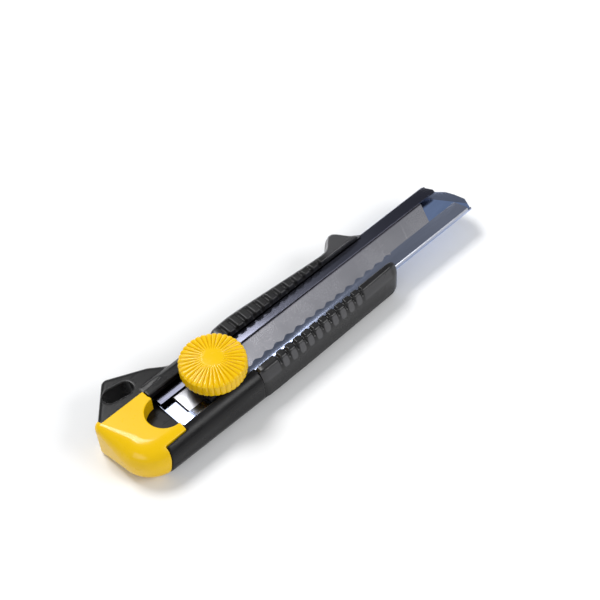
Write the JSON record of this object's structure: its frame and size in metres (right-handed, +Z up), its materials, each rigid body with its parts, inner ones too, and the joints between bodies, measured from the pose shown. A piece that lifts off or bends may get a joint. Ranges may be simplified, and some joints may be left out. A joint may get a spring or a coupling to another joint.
{
  "type": "snap-off utility knife",
  "caption": "Snap-off utility knife: retracted blade in a folded steel channel, thumb wheel lock, ribbed rubber grips, pull-off end cap and a lanyard slot.",
  "frame": {"origin": "on the thumb wheel's axis, on the flat underside of the handle", "axes": "+X to the blade's tip, +Y to the finger guard and the cutting edge, +Z up through the thumb wheel"},
  "size_m": [0.1651, 0.0399, 0.0236],
  "materials": {
    "handle_plastic": "black moulded plastic with a soft shine",
    "yellow_plastic": "glossy yellow moulded plastic",
    "grip_rubber": "black moulded rubber, satin on the ribs",
    "channel_steel": "dark bluish rolled steel",
    "blade_steel": "satin ground steel",
    "fitting_steel": "zinc-plated steel",
    "nut_brass": "turned brass"
  },
  "bodies": {
    "handle": {"handle_body": "handle_plastic", "grip_left": "grip_rubber", "grip_right": "grip_rubber", "blade_channel": "channel_steel", "channel_rivet_rear": "fitting_steel", "channel_rivet_front": "fitting_steel"},
    "slider": {"blade": "blade_steel", "blade_holder": "fitting_steel", "threaded_stud": "fitting_steel", "slider_saddle": "handle_plastic"},
    "wheel_washer": {"wheel_washer": "fitting_steel"},
    "wheel": {"thumb_wheel": "yellow_plastic", "wheel_nut": "nut_brass"},
    "end_cap": {"end_cap": "yellow_plastic"}
  },
  "joints": [
    {"name": "blade_slide", "type": "slide", "parent": "handle", "child": "slider", "axis": [1, 0, 0], "range_m": [0, 0.075]},
    {"name": "wheel_lift", "type": "slide", "parent": "slider", "child": "wheel_washer", "axis": [0, 0, 1], "range_m": [0, 0.00075]},
    {"name": "wheel_turn", "type": "hinge", "parent": "wheel_washer", "child": "wheel", "pos_m": [0, 0, 0.0174], "axis": [0, 0, 1], "range_deg": [0, 270]},
    {"name": "cap_pull", "type": "slide", "parent": "handle", "child": "end_cap", "axis": [-1, 0, 0], "range_m": [0, 0.03]}
  ],
  "couplings": [
    {"joint": "wheel_turn", "follows": "wheel_lift", "rad_per_m": 6283.2}
  ]
}
